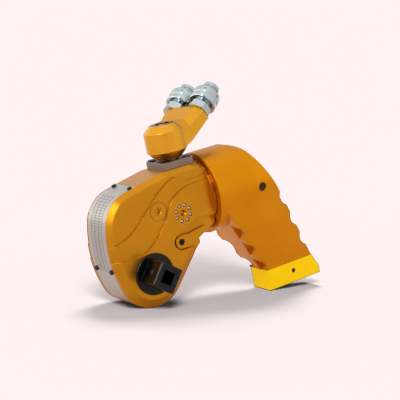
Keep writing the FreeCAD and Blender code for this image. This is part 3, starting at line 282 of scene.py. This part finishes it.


# Ring of pins: bright domed pins, each on a flat dark disc of painted shade that stands for the shade in its
# well round the dish
ringSettings = {"x": 44.8, "z": 50.0, "radius": 8.24, "face": -30.0, "count": 8, "steps": 20,
                "paintedShadeWell": [(0, 0.03), (1.95, 0.03), (1.95, -0.05)],
                "pin": [(0, 0.5), (0.5, 0.42), (0.85, 0.2), (1.05, 0.03), (1.05, -1)]}
pinShape = bmesh.new()
outward = heading(0, -1, 0)
for i in range(ringSettings["count"]):
    angle = math.tau * (i + 0.5) / ringSettings["count"]
    centre = spot(ringSettings["x"] + ringSettings["radius"] * math.cos(angle), ringSettings["face"],
                  ringSettings["z"] + ringSettings["radius"] * math.sin(angle))
    matrix = frameOf(centre, outward)
    # The flat disc round each pin takes the painted shade colour: painted shade of the well
    addSpun(pinShape, ringSettings["paintedShadeWell"], matrix, ringSettings["steps"], 1)
    addSpun(pinShape, ringSettings["pin"], matrix, ringSettings["steps"])
makePiece("ringPinHeads", pinShape, "head", ["ring_pins"], [bright, paintedShade])

# Thin dark ring of painted shade: the shade of the gap round the side plug
plugSettings = {"x": 19.0, "z": 58.5, "face": -28.0, "inner": 9.22, "outer": 9.56, "high": 0.04, "steps": 64}
plugShape = bmesh.new()
addSpun(plugShape, [(plugSettings["inner"], 0), (plugSettings["inner"], plugSettings["high"]),
                    (plugSettings["outer"], plugSettings["high"]), (plugSettings["outer"], 0)],
        frameOf(spot(plugSettings["x"], plugSettings["face"], plugSettings["z"]), outward),
        plugSettings["steps"])
makePiece("plugGapPaintedShade", plugShape, "head", (), [paintedShade])
print("pieces made")

# Floor: one plane takes the shadow for the camera, and one just below is what the metal reflects
floorSettings = {"colour": (250, 238, 238), "rough": 0.9, "reach": 0.8, "mirroredReach": 6, "gap": 0.002}
floorMaterial, floorShader = startMaterial("paleFloor")
floorShader.inputs["Base Color"].default_value = linear(*floorSettings["colour"])
floorShader.inputs["Roughness"].default_value = floorSettings["rough"]


def makeFloor(name, level, size):
    mesh = bpy.data.meshes.new(name)
    grid = bmesh.new()
    bmesh.ops.create_grid(grid, x_segments=1, y_segments=1, size=size)
    bmesh.ops.translate(grid, verts=grid.verts, vec=(0, 0, level))
    grid.to_mesh(mesh)
    grid.free()
    mesh.materials.append(floorMaterial)
    plane = bpy.data.objects.new(name, mesh)
    bpy.context.scene.collection.objects.link(plane)
    return plane


floor = makeFloor("floor", restLow.z, floorSettings["reach"])
floor.is_shadow_catcher = True
floor.visible_diffuse = False
floor.visible_glossy = False
mirrored = makeFloor("floorReflected", restLow.z - floorSettings["gap"], floorSettings["mirroredReach"])
mirrored.visible_camera = False
mirrored.visible_shadow = False

# Camera directions, as solved from the outline of the photograph
back = heading(-0.4837, -0.8491, 0.2122)
right = heading(0.8328, -0.5211, -0.1866)
above = back.cross(right).normalized()
right = above.cross(back).normalized()

# World: flat pale ground for the camera, and soft panels of light all round for everything else.
# Each panel has its direction as seen from the camera (right, up, towards it) and its brightness,
# and the fall is how quickly it fades away from that direction
worldSettings = {"ground": (255, 242, 242), "light": (252, 248, 246), "fall": 4}
panelSettings = {
    "right": ((0.9, -0.1, 0.45), 0.9),
    "rightUp": ((0.7, 0.6, 0.4), 0.59),
    "frontUp": ((0.0, 0.7, 0.7), 0.52),
    "left": ((-0.9, 0.0, 0.4), 1.8),
    "leftUp": ((-0.6, 0.7, 0.4), 0.5),
    "up": ((0.0, 1.0, 0.0), 0.8),
    "upBack": ((0.0, 0.7, -0.7), 0.56),
    "leftBack": ((-0.8, 0.1, -0.6), 1.42),
    "rightBack": ((0.8, 0.1, -0.6), 0.66),
    "down": ((0.0, -1.0, 0.0), 0.36),
}
world = bpy.data.worlds.new("studio")
world.use_nodes = True
bpy.context.scene.world = world
worldTree = world.node_tree
worldTree.nodes.clear()
ground = worldTree.nodes.new("ShaderNodeBackground")
ground.inputs["Color"].default_value = linear(*worldSettings["ground"])
ground.inputs["Strength"].default_value = 1.0
ambient = worldTree.nodes.new("ShaderNodeBackground")
ambient.inputs["Color"].default_value = linear(*worldSettings["light"])
direction = worldTree.nodes.new("ShaderNodeTexCoord").outputs["Generated"]
total = 0.0
for way, brightness in panelSettings.values():
    facing = worldTree.nodes.new("ShaderNodeVectorMath")
    facing.operation = "DOT_PRODUCT"
    facing.inputs[1].default_value = (right * way[0] + above * way[1] + back * way[2]).normalized()
    worldTree.links.new(direction, facing.inputs[0])
    seen = arithmetic(worldTree, "MAXIMUM", facing.outputs["Value"], 0)
    lobe = arithmetic(worldTree, "POWER", seen, worldSettings["fall"])
    total = arithmetic(worldTree, "ADD", total, arithmetic(worldTree, "MULTIPLY", lobe, brightness))
worldTree.links.new(total, ambient.inputs["Strength"])
path = worldTree.nodes.new("ShaderNodeLightPath")
mix = worldTree.nodes.new("ShaderNodeMixShader")
out = worldTree.nodes.new("ShaderNodeOutputWorld")
worldTree.links.new(path.outputs["Is Camera Ray"], mix.inputs["Fac"])
worldTree.links.new(ambient.outputs["Background"], mix.inputs[1])
worldTree.links.new(ground.outputs["Background"], mix.inputs[2])
worldTree.links.new(mix.outputs["Shader"], out.inputs["Surface"])

# Lamps: two for the tool, and two that light the floor alone, one on each side of the tool
towards = Vector((back.x, back.y, 0)).normalized()
upward = Vector((0, 0, 1))
lampSettings = {
    "leftStrip": {"at": Vector((-0.85, -0.45, 0.45)), "size": (0.12, 0.8), "power": 2.2},
    "edgeLight": {"at": Vector((-0.56, -0.5, 0.36)), "size": (0.16, 0.16), "power": 1.3},
    "floorFront": {"at": towards * 1.9 + upward * 1.5, "size": (0.7, 0.7), "power": 330},
    "floorBehind": {"at": towards * -1.0 + upward * 2.0, "size": (0.8, 0.8), "power": 230},
}
aim = spot(70, 0, 50)
floorOnly = bpy.data.collections.new("litFloor")
floorOnly.objects.link(floor)
for name, settings in lampSettings.items():
    data = bpy.data.lights.new(name, "AREA")
    data.shape = "RECTANGLE"
    data.size, data.size_y = settings["size"]
    data.energy = settings["power"]
    lamp = bpy.data.objects.new(name, data)
    lamp.location = aim + settings["at"]
    lamp.rotation_mode = "QUATERNION"
    lamp.rotation_quaternion = (aim - lamp.location).to_track_quat("-Z", "Y")
    bpy.context.scene.collection.objects.link(lamp)
    if name.startswith("floor"):
        lamp.light_linking.receiver_collection = floorOnly
print("light set")

cameraSettings = {"sensor": 36, "lens": 97.5, "lookAt": (83.56, 0, 49.91), "distance": 1.1234,
                  "near": 0.05, "far": 50}
cameraData = bpy.data.cameras.new("camera")
cameraData.sensor_width = cameraSettings["sensor"]
cameraData.lens = cameraSettings["lens"]
cameraData.clip_start = cameraSettings["near"]
cameraData.clip_end = cameraSettings["far"]
camera = bpy.data.objects.new("camera", cameraData)
stand = spot(*cameraSettings["lookAt"]) + back * cameraSettings["distance"]
camera.matrix_world = Matrix.Translation(stand) @ Matrix((right, above, back)).transposed().to_4x4()
bpy.context.scene.collection.objects.link(camera)
bpy.context.scene.camera = camera

bpy.context.scene.view_settings.view_transform = "Standard"
print("ready")
